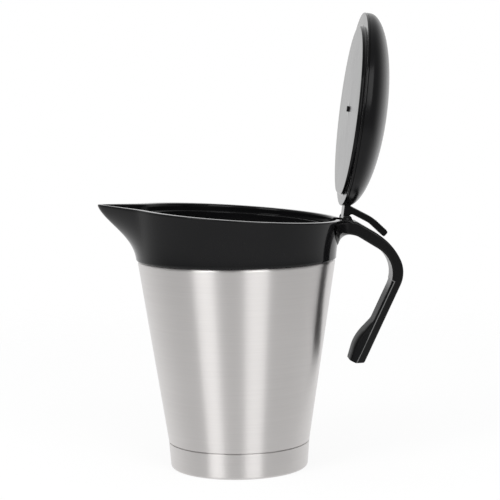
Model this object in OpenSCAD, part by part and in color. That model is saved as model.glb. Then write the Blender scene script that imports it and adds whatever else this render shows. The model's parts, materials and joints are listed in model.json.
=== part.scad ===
// Double-walled sauce jug: steel body, black spout collar, open-ended handle, hinged domed lid.
// Millimetres. The origin is the centre of the base, +Z is up, the spout points to -X and the handle to +X.
// The lid is drawn open, leaning back on its stop.

/* [Steel body] */
// Thickness of the steel sheet
steel = 0.8; // [0.6:0.1:1]
// Height of the joint between the base cap and the outer wall
groove_z = 15.7; // [13:0.1:20]
// Width of the groove at that joint
groove_gap = 0.6; // [0.4:0.1:1]
// Radius of the base cap where it meets the table
cap_bottom_r = 41.1; // [40:0.1:42]
// Radius of the body at the groove
groove_r = 42.3; // [41.5:0.1:44]
// Rounding of the base cap's lower edge
cap_corner = 2; // [1:0.1:3]
// Height of the shoulder that carries the collar
shoulder_z = 125; // [115:0.5:130]
// Radius of the body at the shoulder
shoulder_r = 59; // [58:0.1:60]
// Width of the shoulder
shoulder_step = 2; // [1.5:0.1:2.4]
// Height of the neck above the shoulder
neck_h = 9; // [7:0.1:10]

/* [Liner] */
// Air gap between the outer wall and the liner
air_gap = 5; // [4:0.1:6]
// Height of the underside of the liner's floor
liner_z = 13; // [12:0.5:16]
// Rounding of the liner's floor
liner_corner = 6; // [3:0.5:10]
// Height of the disc that closes the outer wall
disc_z = 6; // [4:0.1:7]
// Rise of that disc at its centre
disc_rise = 2.6; // [1:0.1:3.4]
// Width of the ramp from that disc's edge up to its raised middle
disc_ramp = 10; // [6:0.5:16]

/* [Collar] */
// How far the collar's foot stands out from the steel
collar_proud = 0.7; // [0.4:0.1:1.2]
// Radius of the collar at the rim
rim_r = 63.4; // [62.6:0.1:66]
// Height of the rim at the jug's axis
rim_z = 152.8; // [150:0.1:158]
// Slope of the rim, which rises towards the spout
rim_slope = 4.4; // [3:0.1:6]
// Thickness of the collar's walls
collar_wall = 2.4; // [2:0.1:2.6]
// Width of the rim's top face
rim_face = 1.9; // [1.4:0.1:2.4]
// Rounding of the collar's edges
collar_edge = 0.8; // [0.4:0.1:1]
// Thickness of the seal between the liner and the collar
seal_h = 1.6; // [1:0.1:2]
// Gap between the collar and the steel
collar_fit = 0.2; // [0.1:0.05:0.3]

/* [Spout] */
// How far the spout stands out beyond the round wall
spout_reach = 18.5; // [10:0.5:22]
// Height over which the underside of the spout sweeps out
spout_rise = 27; // [22:0.5:28]
// Rounding of the spout's tip
tip_round = 2.2; // [1:0.1:4]
// Share of the tangent angle at which the spout's sides meet the round wall
spout_spread = 0.62; // [0.5:0.01:0.9]
// Thickness of the spout's wall at its tip
tip_wall = 3.1; // [2.6:0.1:4]
// Height of the channel's floor above the seal
channel_lift = 3.6; // [3:0.1:5]

/* [Handle] */
// Width of the handle
handle_w = 20; // [18:0.5:26]
// Depth of the handle's top below the rim, at its root
root_drop = 1.3; // [0.8:0.1:1.8]
// Length of the level top beyond the hinge axis
root_len = 5.8; // [5.4:0.1:8]
// Rounding between the level top and the arch
knee_r = 4; // [2:0.5:6]
// Thickness of the arch at its root
arch_t = 6.3; // [5.8:0.1:7]
// Thickness of the straight grip, both pieces together
grip_t = 5; // [4.6:0.1:5.4]
// Thickness of the frame behind the grip cover
frame_t = 3.9; // [3:0.1:4]
// Slope of the arch's top below level
arch_slope = 31.6; // [28:0.1:34]
// Slope of the arch's underside below level
under_slope = 34.8; // [33:0.1:38]
// Slope of the flat between the two bends
bend_slope = 67.4; // [65:0.1:69]
// Slope of the grip away from upright
grip_slope = 25.4; // [22:0.1:27]
// Length of the arch's straight top, measured to the corner of the upper bend
arch_len = 25.7; // [22:0.1:30]
// Distance between the corners of the two bends
bend_len = 18.8; // [18.7:0.1:22]
// Radius of the upper bend
bend_upper_r = 31.5; // [26:0.5:31.5]
// Radius of the lower bend
bend_lower_r = 19; // [15:0.5:19]
// Radius inside the bends
bend_inner_r = 17; // [14:0.5:18]
// Height of the grip cover's upper end
cover_top_z = 110.5; // [106:0.1:112]
// Height of the handle's lower end
handle_end_z = 62.6; // [55:0.1:68]
// Rounding of the frame's lower corner
frame_end_r = 1.5; // [0.8:0.1:1.8]
// Rounding of the cover's lower corner
cover_end_r = 2.5; // [1.5:0.1:3]
// Thickness of the swollen end
bulb_t = 10.9; // [9:0.1:12]
// Height of the swollen end
bulb_h = 13.5; // [12:0.1:18]
// Slope of the swollen end's inner face away from upright
bulb_slope = 14.3; // [10:0.1:20]
// Slope of the lead-in to the swollen end away from upright
lead_slope = 47.5; // [42:0.5:55]
// Radius of the curves at the swollen end
bulb_r = 9; // [5:0.5:10]
// Height of the crown that rounds the cover across its width
crown_h = 4.5; // [2:0.1:5]
// Radius of the fillet under the handle's root
root_fillet = 6.6; // [5:0.1:8]

/* [Hinge] */
// Distance of the hinge axis beyond the rim
hinge_out = 2.1; // [1.8:0.1:4]
// Height of the hinge axis above the rim's plane
hinge_rise = 0.5; // [0.3:0.05:1]
// Radius of the hinge pin
pin_r = 1.2; // [1:0.05:1.3]
// Running clearance of the lid on the pin
pin_clear = 0.05; // [0.02:0.01:0.1]
// Radius of the ears and of the knuckle around the pin
ear_r = 2.2; // [2:0.1:2.6]
// Thickness of each ear
ear_t = 2.6; // [2:0.1:3.4]
// Reach of each ear's foot towards the jug and away from it
ear_foot_in = 3.7; // [3.4:0.1:4.2]
ear_foot_out = 4.2; // [3.6:0.1:5]
// Half the width of each ear's top
ear_top_half = 2.1; // [2:0.1:2.4]
// Rounding of each ear's top
ear_round = 1.8; // [1:0.1:2]
// Gap on each side of the knuckle
knuckle_gap = 0.3; // [0.2:0.05:0.5]

/* [Lid] */
// Radius of the lid
lid_r = 57.4; // [55:0.1:57.8]
// Depth of the closed lid's flange below the rim
lid_drop = 3.9; // [3:0.1:4.5]
// Gap between the closed lid and the collar
lid_gap = 0.3; // [0.2:0.05:0.5]
// Gap between the lid's edge and the wall of the mouth
mouth_gap = 0.8; // [0.6:0.1:1]
// How far the lid's centre lies from the jug's axis when closed
lid_shift = 0.7; // [0:0.1:1]
// Height of the lid's straight side
lid_side = 3.3; // [2:0.1:3.6]
// Height of the dome above the straight side
dome_h = 16.3; // [12:0.1:22]
// Thickness of the dome
dome_t = 1.8; // [1.4:0.1:2.2]
// Thickness of the flange of the lid's inner panel
panel_t = 1.3; // [1:0.1:1.5]
// Radius of the raised plug under the lid
plug_r = 51; // [48:0.5:52]
// Height of the plug
plug_h = 1.95; // [1.5:0.05:3]
// Distance of the plug's flat side from the lid's centre
plug_flat = 46; // [42:0.5:47]
// Radius of the moulding nub at the plug's centre
nub_r = 1.7; // [1:0.1:2.5]
// Height of that nub
nub_h = 1.2; // [0.6:0.1:1.6]
// How far past upright the open lid leans
open_tilt = 7.6; // [6:0.1:9]

/* [Thumb lever] */
// Thickness of the lid's arm
arm_t = 3.4; // [3:0.1:3.8]
// How far the arm lies below the hinge axis when the lid is closed
arm_below = 2; // [1.8:0.1:2.2]
// How far the arm reaches into the lid
arm_reach = 7; // [5:0.5:9]
// Thickness of the thumb lever
lever_t = 3.3; // [2.8:0.1:3.6]
// Height of the lever's underside above the hinge axis, at the arm
lever_seat = 4.7; // [4:0.1:6]
// Length of the lever up to its bend
lever_root = 14.8; // [13:0.1:16]
// Length of the lever beyond its bend
lever_tip = 11.9; // [9:0.1:12]
// Backward lean of the lever up to its bend
lever_lean = 20.5; // [16:0.5:21]
// Further lean of the lever beyond its bend
lever_bend = 15.5; // [8:0.5:16]
// Rounding inside the lever's bend
lever_curve = 12; // [4:1:16]
// Rounding of the lever's tip, below and above
tip_under_r = 0.9; // [0.4:0.1:1.2]
tip_over_r = 1.2; // [0.4:0.1:1.4]

/* [Hidden] */
$fn = 96;

steel_colour = "silver";
plastic_colour = "#1c1c1e";
seal_colour = "dimgray";

// Steel body, worked out from the sizes above
taper = (shoulder_r - groove_r) / (shoulder_z - groove_z);
neck_r = shoulder_r - shoulder_step;
neck_z = shoulder_z + neck_h;

// Fits of the cap on the foot and of the disc in it
press_fit = 0.1;
disc_gap = 0.02;
spigot_in = steel + press_fit;

// Collar: its levels fan out from the flat foot to the sloping rim
foot_z = shoulder_z + collar_fit;
foot_r = shoulder_r + collar_proud;
rim_grade = tan(rim_slope);
seal_z = neck_z + steel;
seat_z = seal_z + seal_h;
bore_r = body_r(neck_z) - 2 * steel - air_gap;
mouth_r = lid_r + mouth_gap;
ledge_drop = lid_drop + lid_gap;

// Spout's channel: places across the ledge, the collar's levels there and the share of its width
// that is level, then the level of the hollow's roof and the angle across the notch's sides
channel_shares = [0, 0.35, 0.7];
channel_levels = [0.86, 0.7, 0.55];
channel_flat = 0.45;
roof_level = 0.6;
notch_step = 0.1;

// Hinge and lid
hinge_x = rim_r + hinge_out;
hinge_z = rim_at(hinge_x) + hinge_rise;
ear_gap = handle_w / 2 - ear_t;
arm_w = 2 * (ear_gap - knuckle_gap);
lid_u = (hinge_x - lid_shift) / cos(rim_slope) - (hinge_rise + lid_drop) * sin(rim_slope);
lid_w = -(hinge_rise + lid_drop) * cos(rim_slope);
arm_low = -arm_below;
notch_half = ear_gap + knuckle_gap;
notch_depth = lid_gap + max(0, -arm_low / cos(rim_slope) - hinge_rise);

// Handle: places along its side view
root_z = rim_at(rim_r) - root_drop;
knee = [hinge_x + root_len, root_z];
upper_bend = knee + arch_len * [cos(arch_slope), -sin(arch_slope)];
bend = upper_bend + bend_len * [cos(bend_slope), -sin(bend_slope)];
along = [-sin(grip_slope), -cos(grip_slope)];
inward = [-cos(grip_slope), sin(grip_slope)];
under_way = [cos(under_slope), -sin(under_slope)];
under_start = knee + arch_t * [-sin(under_slope), -cos(under_slope)];
inner_bend = crossing(under_start, under_way, grip(0, grip_t), along);
swell = grip_at(handle_end_z + bulb_h, bulb_t);
swell_way = [-sin(bulb_slope), -cos(bulb_slope)];
swell_foot = crossing(swell, swell_way, [0, 0], [1, 0]);
handle_reach = bend[0] - swell_foot[0];

// Glue lines at the handle's cover, the lid's pieces and the handle's root
cover_gap = 0.05;
seat_gap = 0.05;

// Collar levels between which the handle's root is bonded, and depth of the ears in the handle
root_level = 0.85;
root_low_level = 0.3;
ear_sink = 1;

// Clearance of the crown over the swollen end, and the angle between its points
crown_over = 0.1;
crown_step = 12;

// Radius of the outer wall at a height
function body_r(z) = groove_r + taper * (z - groove_z);

// Radius of the base cap's side at a height
function cap_r(z) = cap_bottom_r + (groove_r - cap_bottom_r) * z / groove_z;

// Height of the rim's plane at a distance along X
function rim_at(x) = rim_z - rim_grade * x;

// A smooth rise from 0 to 1
function ease(t) = let (c = min(1, max(0, t))) c * c * (3 - 2 * c);

// A point on the grip's side view: s runs down the grip from the bend, n inwards from its back
function grip(s, n) = bend + along * s + inward * n;

// Distance down the grip of a point at a given height, and that point
function grip_s(z, n) = (bend[1] + inward[1] * n - z) / cos(grip_slope);
function grip_at(z, n) = grip(grip_s(z, n), n);

// The point where the line from p along d crosses the line from q along e
function crossing(p, d, q, e) =
  p + d * ((q[0] - p[0]) * e[1] - (q[1] - p[1]) * e[0]) / (d[0] * e[1] - d[1] * e[0]);

// A corner of an outline: its point and the radius that rounds it
function corner(p, r = 0) = [p[0], p[1], r];

// Points of an outline whose corners [x, y, radius] are rounded by tangent arcs
function rounded(corners, steps = 10) = [
  for (i = [0 : len(corners) - 1])
    let (
      count = len(corners),
      c = corners[i],
      p = [c[0], c[1]],
      a = corner_way(p, corners[(i + count - 1) % count]),
      b = corner_way(p, corners[(i + 1) % count])
    )
    each (c[2] > 0 ? corner_arc(p, a, b, c[2], steps) : [p])
];

// Unit vector from a point to a corner
function corner_way(p, c) = let (d = [c[0] - p[0], c[1] - p[1]]) d / norm(d);

// Arc of radius r tangent to the two ways a and b that leave the point p
function corner_arc(p, a, b, r, steps) =
  let (
    half = acos(a * b) / 2,
    middle = (a + b) / norm(a + b),
    centre = p + middle * r / sin(half),
    from = p + a * r / tan(half) - centre,
    to = p + b * r / tan(half) - centre,
    start = atan2(from[1], from[0]),
    turn = atan2(from[0] * to[1] - from[1] * to[0], from * to)
  )
  [for (k = [0 : steps]) centre + r * [cos(start + turn * k / steps), sin(start + turn * k / steps)]];

// Places the lid's own frame: Z runs from the hinge to the lid's centre, X out of the dome
module at_lid() {
  translate([hinge_x, 0, hinge_z]) rotate([0, open_tilt, 0]) children();
}

// Turns a shape round the lid's centre line, with its underside at height 0
module about_lid() {
  at_lid() translate([lid_w, 0, lid_u]) rotate([0, 90, 0]) children();
}

// Draws an XZ outline as a slab of width w, centred on Y
module slab(w) {
  rotate([90, 0, 0]) linear_extrude(height = w, center = true) children();
}

// A round bar along Y through the hinge axis
module hinge_bar(r, w) {
  translate([hinge_x, 0, hinge_z]) rotate([90, 0, 0]) cylinder(r = r, h = w, center = true);
}

module outer_shell() {
  color(steel_colour)
    rotate_extrude()
      polygon([
        [cap_r(disc_z) - spigot_in, disc_z],
        [cap_r(groove_z) - spigot_in, groove_z],
        [groove_r, groove_z + groove_gap / 2],
        [shoulder_r, shoulder_z],
        [neck_r, shoulder_z + collar_fit / 2],
        [neck_r, neck_z],
        [neck_r - steel, neck_z],
        [neck_r - steel, shoulder_z - steel],
        [body_r(shoulder_z - steel) - steel, shoulder_z - 2 * steel],
        [groove_r - steel, groove_z + groove_gap / 2 + steel],
        [cap_r(groove_z) - spigot_in - steel, groove_z],
        [cap_r(disc_z) - spigot_in - steel, disc_z]
      ]);
}

// Dished disc welded into the foot of the outer wall
module bottom_disc() {
  edge_r = cap_r(disc_z) - spigot_in - steel - disc_gap;
  dish_r = edge_r - disc_ramp;
  color(steel_colour)
    rotate_extrude()
      polygon([
        [0, disc_z + disc_rise],
        [dish_r, disc_z + disc_rise],
        [edge_r - steel, disc_z],
        [edge_r, disc_z],
        [edge_r, disc_z + steel],
        [edge_r - steel, disc_z + steel],
        [dish_r, disc_z + disc_rise + steel],
        [0, disc_z + disc_rise + steel]
      ]);
}

module inner_liner() {
  inset = steel + air_gap;
  floor_r = body_r(liner_z) - inset;
  top_r = body_r(neck_z) - inset;
  outside = rounded([
    [0, liner_z, 0],
    [floor_r, liner_z, liner_corner],
    [top_r, neck_z, 0],
    [neck_r, neck_z, 0],
    [neck_r, seal_z, 0],
    [top_r - steel, seal_z, 0],
    [floor_r - steel, liner_z + steel, liner_corner - steel],
    [0, liner_z + steel, 0]
  ]);
  color(steel_colour) rotate_extrude() polygon(outside);
}

module base_cap() {
  top_z = groove_z - groove_gap / 2;
  outside = rounded([
    [0, 0, 0],
    [cap_bottom_r, 0, cap_corner],
    [cap_r(top_z), top_z, 0],
    [cap_r(top_z) - steel, top_z, 0],
    [cap_bottom_r - steel, steel, cap_corner - steel],
    [0, steel, 0]
  ]);
  color(steel_colour) rotate_extrude() polygon(outside);
}

// How far the spout stands out at the rim, as a share of its reach: 1 at the tip and 0 where its
// side meets the round wall, for a share t of the width between them
side_steps = 8;
arc_steps = 34;
spout_meet = spout_spread * acos(rim_r / (rim_r + spout_reach));
function standing_out(t) =
  let (
    y_meet = rim_r * sin(spout_meet),
    y = t * y_meet,
    run = rim_r + spout_reach - rim_r * cos(spout_meet),
    lean = run / (norm([y_meet, tip_round]) - tip_round),
    side = rim_r + spout_reach - lean * (norm([y, tip_round]) - tip_round)
  )
  (side - sqrt(rim_r * rim_r - y * y)) / spout_reach;

// Half of a collar ring, from the spout's tip round to the hinge: a circle of radius r about
// [cx, 0] and the spout's side, whose tip lies at a distance tip from the centre
function half_ring(r, tip, cx) =
  let (back = 180 - asin(notch_half / r))
  [
    for (i = [0 : side_steps - 1])
      let (t = i / side_steps, y = r * sin(spout_meet) * t)
      [cx - sqrt(r * r - y * y) - (tip - r) * standing_out(t), -y],
    for (i = [0 : arc_steps])
      let (a = spout_meet + (back - spout_meet) * i / arc_steps)
      [cx - r * cos(a), -r * sin(a)],
    for (a = [back + notch_step, (back + 180) / 2, 180])
      [cx - r * cos(a), -r * sin(a)]
  ];

half_count = side_steps + arc_steps + 4;
ring_count = 2 * half_count - 2;

// Index on the half ring of a point of the whole ring
function half_index(j) = j < half_count ? j : ring_count - j;

// 1 in the spout's channel, 0 on the ledge, for a place on the half ring
function channel(i) = 1 - ease((i / side_steps - channel_flat) / (1 - channel_flat));

// 1 in the notch for the lid's arm, 0 elsewhere
function in_notch(i) = i > side_steps + arc_steps ? 1 : 0;

// A whole ring of 3-D points from a half ring and the heights of its points
function whole_ring(half, heights) = [
  for (j = [0 : ring_count - 1])
    let (i = half_index(j))
    [half[i][0], j < half_count ? half[i][1] : -half[i][1], heights[i]]
];

// Radius, spout tip and height of the collar's outside at level v, 0 at the foot and 1 at the rim
tip_rim = rim_at(-rim_r - spout_reach);
level_start = 1 - spout_rise / (tip_rim - foot_z);
function wall_r(v) = foot_r + (rim_r - foot_r) * v;
function tip_at(v) = wall_r(v) + spout_reach * ease((v - level_start) / (1 - level_start));
function level_z(v, x) = foot_z + v * (rim_at(x) - foot_z);

// Ring of the outside at level v, drawn in by inset
function outer_ring(v, inset) =
  let (
    half = half_ring(wall_r(v) - inset, tip_at(v) - inset, 0),
    cut = v > 1 - 2 * collar_edge / (rim_z - foot_z) ? notch_depth : 0
  )
  whole_ring(half, [for (i = [0 : half_count - 1]) level_z(v, half[i][0]) - cut * in_notch(i)]);

// Ring of the mouth: on the ledge at drop below the rim, or in the spout's channel at level v
function inner_ring(r, tip, v, drop) =
  let (
    half = half_ring(r, tip, lid_shift * (drop > 0 ? 1 : 0.5)),
    cut = drop > 0 ? 0 : notch_depth
  )
  whole_ring(half, [
    for (i = [0 : half_count - 1])
      let (ledge = rim_at(half[i][0]) - drop, c = channel(i))
      ledge + c * (level_z(v, half[i][0]) - ledge) - cut * in_notch(i)
  ]);

// Plain round ring: height low in the spout's channel and drop below the rim elsewhere
function round_ring(r, low, drop) =
  let (half = half_ring(r, r, 0))
  whole_ring(half, [
    for (i = [0 : half_count - 1])
      let (c = channel(i))
      drop > 0 ? c * low + (1 - c) * (rim_at(half[i][0]) - drop) : low
  ]);

module spout_collar() {
  edge_v = collar_edge / (rim_z - foot_z);
  outer_levels = 11;
  roof_drop = ledge_drop + collar_wall;
  roof_low = seat_z + channel_lift - collar_wall;
  skirt_r = bore_r + collar_wall;
  ledge_w = mouth_r - bore_r;
  rings = [
    outer_ring(0, collar_edge),
    outer_ring(edge_v / 3, collar_edge / 4),
    for (k = [0 : outer_levels]) outer_ring(edge_v + (1 - 2 * edge_v) * k / outer_levels, 0),
    outer_ring(1 - edge_v / 3, collar_edge / 4),
    outer_ring(1, collar_edge),
    inner_ring(rim_r - collar_edge - rim_face, tip_at(1) - tip_wall, 1, 0),
    for (k = [0 : 2])
      let (v = channel_levels[k])
      inner_ring(mouth_r - ledge_w * channel_shares[k], tip_at(v) - tip_wall, v, ledge_drop),
    round_ring(bore_r, seat_z + channel_lift, ledge_drop),
    round_ring(bore_r, seat_z, 0),
    round_ring(skirt_r, seat_z, 0),
    round_ring(skirt_r, roof_low, roof_drop),
    round_ring(wall_r(roof_level) - collar_wall, roof_low, roof_drop),
    round_ring(neck_r + collar_fit, foot_z, 0)
  ];
  count = len(rings);
  color(plastic_colour)
    polyhedron(
      points = [for (ring = rings) each ring],
      faces = [
        for (k = [0 : count - 1], j = [0 : ring_count - 1])
          let (
            next_k = (k + 1) % count,
            next_j = (j + 1) % ring_count,
            a = k * ring_count + j,
            b = k * ring_count + next_j,
            c = next_k * ring_count + next_j,
            d = next_k * ring_count + j
          )
          each [[a, b, c], [a, c, d]]
      ]
    );
}

module rim_seal() {
  color(seal_colour)
    rotate_extrude()
      translate([bore_r, seal_z]) square([collar_wall, seal_h]);
}

// Side view of one hinge ear
module ear_outline() {
  foot = root_z - ear_sink;
  top_z = hinge_z + ear_r;
  polygon(rounded([
    [hinge_x - ear_foot_in, foot, 0],
    [hinge_x + ear_foot_out, foot, 0],
    [hinge_x + ear_top_half, top_z, ear_round],
    [hinge_x - ear_top_half, top_z, ear_round]
  ]));
}

// Side view of the whole handle, frame and cover together
module handle_outline() {
  root_corner = crossing(under_start, under_way, [wall_r(root_level), 0], [0, 1]);
  root_low = [wall_r(root_low_level), level_z(root_low_level, rim_r)];
  lead = [sin(lead_slope), cos(lead_slope)];
  polygon(rounded([
    corner([rim_r - collar_wall, root_z]),
    corner(knee, knee_r),
    corner(upper_bend, bend_upper_r),
    corner(bend, bend_lower_r),
    corner(grip_at(handle_end_z, 0), frame_end_r),
    corner(crossing(swell, swell_way, [0, handle_end_z], [1, 0]), cover_end_r),
    corner(swell, bulb_r),
    corner(crossing(swell, lead, grip(0, grip_t), along), bulb_r),
    corner(inner_bend, bend_inner_r),
    corner(root_corner, root_fillet),
    corner(root_low),
    corner(root_low - [2 * collar_wall, 0])
  ]));
}

// Side view of the room behind the frame that the cover takes, drawn in by gap
module cover_room(gap) {
  start = grip_s(cover_top_z, frame_t) + gap;
  end = grip_s(0, 0);
  room = 2 * bulb_t;
  polygon([
    grip(start, frame_t + gap),
    grip(start, room),
    grip(end, room),
    grip(end, frame_t + gap)
  ]);
}

module handle_frame() {
  color(plastic_colour)
    difference() {
      union() {
        slab(handle_w)
          difference() {
            handle_outline();
            cover_room(0);
          }
        for (side = [-1, 1])
          translate([0, side * (handle_w - ear_t) / 2, 0]) slab(ear_t) ear_outline();
      }
      // The round wall that the handle's root is bonded to
      translate([0, 0, foot_z])
        cylinder(r1 = foot_r + seat_gap, r2 = rim_r + seat_gap, h = rim_at(rim_r) - foot_z);
      translate([0, 0, rim_at(rim_r) - seat_gap])
        cylinder(r = rim_r + seat_gap, h = 2 * ear_r);
      // Room for the lid's arm between the ears
      translate([rim_r - collar_wall, -ear_gap, hinge_z - ear_r - lid_gap])
        cube([hinge_out + collar_wall + 2 * ear_r, 2 * ear_gap, 3 * ear_r]);
      hinge_bar(pin_r, handle_w + 1);
    }
}

// Bar along the swollen end's inner face, crowned across the handle's width
module crowned_bar() {
  crown = [for (a = [0 : crown_step : 180]) [-crown_h * sin(a), handle_w / 2 * cos(a)]];
  translate([swell_foot[0] + crown_h / cos(bulb_slope) - crown_over, 0, 0])
    rotate([0, bulb_slope, 0])
      linear_extrude(height = 2 * cover_top_z)
        polygon([[handle_reach, handle_w / 2], each crown, [handle_reach, -handle_w / 2]]);
}

module handle_cover() {
  color(plastic_colour)
    intersection() {
      slab(handle_w)
        intersection() {
          handle_outline();
          cover_room(cover_gap);
        }
      crowned_bar();
    }
}

module hinge_pin() {
  color(steel_colour) hinge_bar(pin_r, handle_w - 2 * knuckle_gap);
}

// Points of the dome's curve for a rim radius, a height above the straight side and a start height
function dome_curve(r, h, z) = [for (a = [0 : 3.75 : 90]) [r * cos(a), z + h * sin(a)]];

// Side view of the thumb lever in the lid's frame, grown by gap
module lever_outline(gap) {
  way_1 = [cos(lever_lean), -sin(lever_lean)];
  way_2 = [cos(lever_lean + lever_bend), -sin(lever_lean + lever_bend)];
  up_1 = [-way_1[1], way_1[0]];
  up_2 = [-way_2[1], way_2[0]];
  thick = lever_t + 2 * gap;
  lower = [arm_low + arm_t / 2, lever_seat] - gap * up_1;
  turn = lower + way_1 * lever_root;
  turn_top = turn + thick * (up_1 + tan(lever_bend / 2) * way_1);
  tip = turn + way_2 * (lever_tip + gap);
  polygon(rounded([
    corner(lower),
    corner(turn, lever_curve),
    corner(tip, tip_under_r),
    corner(tip + thick * up_2, tip_over_r),
    corner(turn_top, lever_curve + thick),
    corner(lower + thick * up_1)
  ]));
}

// The lid's arm, the knuckle round the pin and the thumb lever, grown by gap
module lever_body(gap) {
  width = arm_w + 2 * gap;
  arm_end = lid_u - lid_r + arm_reach + gap;
  translate([arm_low - gap, -width / 2, 0]) cube([arm_t + 2 * gap, width, arm_end]);
  rotate([90, 0, 0]) cylinder(r = ear_r + gap, h = width, center = true);
  slab(width) lever_outline(gap);
}

module lid_dome() {
  inner = dome_curve(lid_r - dome_t, dome_h - dome_t, lid_side);
  color(plastic_colour)
    difference() {
      about_lid()
        rotate_extrude()
          polygon([
            [lid_r - dome_t, panel_t],
            [lid_r, panel_t],
            each dome_curve(lid_r, dome_h, lid_side),
            each [for (i = [len(inner) - 1 : -1 : 0]) inner[i]]
          ]);
      // Window for the lid's arm
      at_lid() lever_body(cover_gap);
    }
}

module lid_panel() {
  ring_r = lid_r - dome_t - cover_gap;
  color(plastic_colour)
    difference() {
      about_lid()
        union() {
          cylinder(r = lid_r, h = panel_t);
          difference() {
            translate([0, 0, -plug_h]) cylinder(r = plug_r, h = plug_h + panel_t / 2);
            translate([plug_flat, -plug_r, -2 * plug_h]) cube([plug_r, 2 * plug_r, 2 * plug_h]);
          }
          translate([0, 0, -plug_h - nub_h]) cylinder(r = nub_r, h = nub_h + panel_t);
          // Ring that locates the dome
          difference() {
            cylinder(r = ring_r, h = panel_t + lid_side / 3);
            cylinder(r = ring_r - dome_t, h = panel_t + lid_side);
          }
        }
      // Gap in that ring for the lid's arm
      at_lid() lever_body(cover_gap);
    }
}

module thumb_lever() {
  color(plastic_colour)
    at_lid()
      difference() {
        lever_body(0);
        rotate([90, 0, 0]) cylinder(r = pin_r + pin_clear, h = arm_w + 1, center = true);
      }
}

outer_shell();
bottom_disc();
inner_liner();
base_cap();
spout_collar();
rim_seal();
handle_frame();
handle_cover();
hinge_pin();
lid_dome();
lid_panel();
thumb_lever();
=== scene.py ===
import json
from math import acos, asin, atan2, cos, hypot, pi, radians, sin, sqrt, tan

import bmesh
import bpy
from mathutils import Matrix, Vector


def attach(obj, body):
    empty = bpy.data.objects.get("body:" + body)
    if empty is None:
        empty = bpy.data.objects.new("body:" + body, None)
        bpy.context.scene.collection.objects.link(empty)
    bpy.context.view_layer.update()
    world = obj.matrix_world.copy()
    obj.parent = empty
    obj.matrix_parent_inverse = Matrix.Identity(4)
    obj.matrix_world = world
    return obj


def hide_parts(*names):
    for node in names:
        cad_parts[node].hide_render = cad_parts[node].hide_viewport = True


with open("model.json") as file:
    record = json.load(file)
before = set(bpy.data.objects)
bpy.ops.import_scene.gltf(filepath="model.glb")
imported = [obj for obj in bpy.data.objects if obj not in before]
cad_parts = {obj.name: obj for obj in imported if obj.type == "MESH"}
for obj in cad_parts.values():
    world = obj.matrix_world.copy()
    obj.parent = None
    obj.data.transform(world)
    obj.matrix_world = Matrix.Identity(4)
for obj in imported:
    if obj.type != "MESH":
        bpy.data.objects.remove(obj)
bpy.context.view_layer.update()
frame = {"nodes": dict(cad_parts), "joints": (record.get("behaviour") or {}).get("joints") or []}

mm = 0.001  # the frame is in metres, the sizes below are in millimetres
tiny = 1e-6  # keeps a division from meeting zero
scene = bpy.context.scene
hinge = Vector(frame["joints"][0]["pos_m"]) / mm
turns = 192  # points round a lathe piece
print("frame loaded:", len(frame["nodes"]), "nodes")


# Camera, at the photo's place
cameraSizes = {
    "place": (-40.23, -1019.42, 235.25),
    "heading": 2.714,  # degrees from +Y towards +X
    "pitch": 5.879,  # degrees below level
    "roll": 0.8,  # degrees, the picture's right side sinks
    "focal": 1719.4,  # in pixels of the photo
    "picture": 500,
    "sensor": 36,
}


def makeCamera(sizes):
    data = bpy.data.cameras.new("photo_camera")
    data.sensor_width = sizes["sensor"]
    data.lens = sizes["focal"] * sizes["sensor"] / sizes["picture"]
    data.clip_end = 50
    camera = bpy.data.objects.new("photo_camera", data)
    scene.collection.objects.link(camera)
    turn = Matrix.Rotation(radians(-sizes["heading"]), 4, "Z")
    turn = turn @ Matrix.Rotation(radians(90 - sizes["pitch"]), 4, "X")
    turn = turn @ Matrix.Rotation(radians(-sizes["roll"]), 4, "Z")
    camera.matrix_world = Matrix.Translation(Vector(sizes["place"]) * mm) @ turn
    scene.camera = camera


makeCamera(cameraSizes)
print("camera placed")


# Mesh tools

def cross(a, b):
    return a[0] * b[1] - a[1] * b[0]


def crossing(p, d, q, e):  # where the line from p along d meets the line from q along e
    return p + d * (cross(q - p, e) / cross(d, e))


def way(slope):  # direction that falls by slope degrees on its way to +X
    return Vector((cos(radians(slope)), -sin(radians(slope))))


def roundedOutline(corners, steps=8):  # corners are (point, radius), the arcs touch both sides
    points = []
    for i, (p, radius) in enumerate(corners):
        p = Vector(p)
        if not radius:
            points.append(p)
            continue
        a = (Vector(corners[i - 1][0]) - p).normalized()
        b = (Vector(corners[(i + 1) % len(corners)][0]) - p).normalized()
        half = acos(max(-1, min(1, a.dot(b)))) / 2
        centre = p + (a + b).normalized() * (radius / sin(half))
        start = p + a * (radius / tan(half)) - centre
        end = p + b * (radius / tan(half)) - centre
        first = atan2(start.y, start.x)
        turn = atan2(cross(start, end), start.dot(end))
        for k in range(steps + 1):
            angle = first + turn * k / steps
            points.append(centre + radius * Vector((cos(angle), sin(angle))))
    return points


def insetPaths(outline):  # how each point moves when the outline shrinks by 1
    count = len(outline)
    area = sum(cross(outline[i - 1], outline[i]) for i in range(count))
    side = 1 if area > 0 else -1
    paths = []
    for i, p in enumerate(outline):
        before = (p - outline[i - 1]).normalized()
        after = (outline[(i + 1) % count] - p).normalized()
        n1 = Vector((-before.y, before.x)) * side
        n2 = Vector((-after.y, after.x)) * side
        paths.append((n1 + n2) / max(0.4, 1 + n1.dot(n2)))
    return paths


def finishMesh(name, builder, sharpAngle=38, weighted=True):
    bmesh.ops.remove_doubles(builder, verts=builder.verts, dist=1e-7)
    bmesh.ops.recalc_face_normals(builder, faces=builder.faces)
    mesh = bpy.data.meshes.new(name)
    builder.to_mesh(mesh)
    builder.free()
    piece = bpy.data.objects.new(name, mesh)
    scene.collection.objects.link(piece)
    smoothMesh(piece, sharpAngle, weighted)
    return piece


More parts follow.
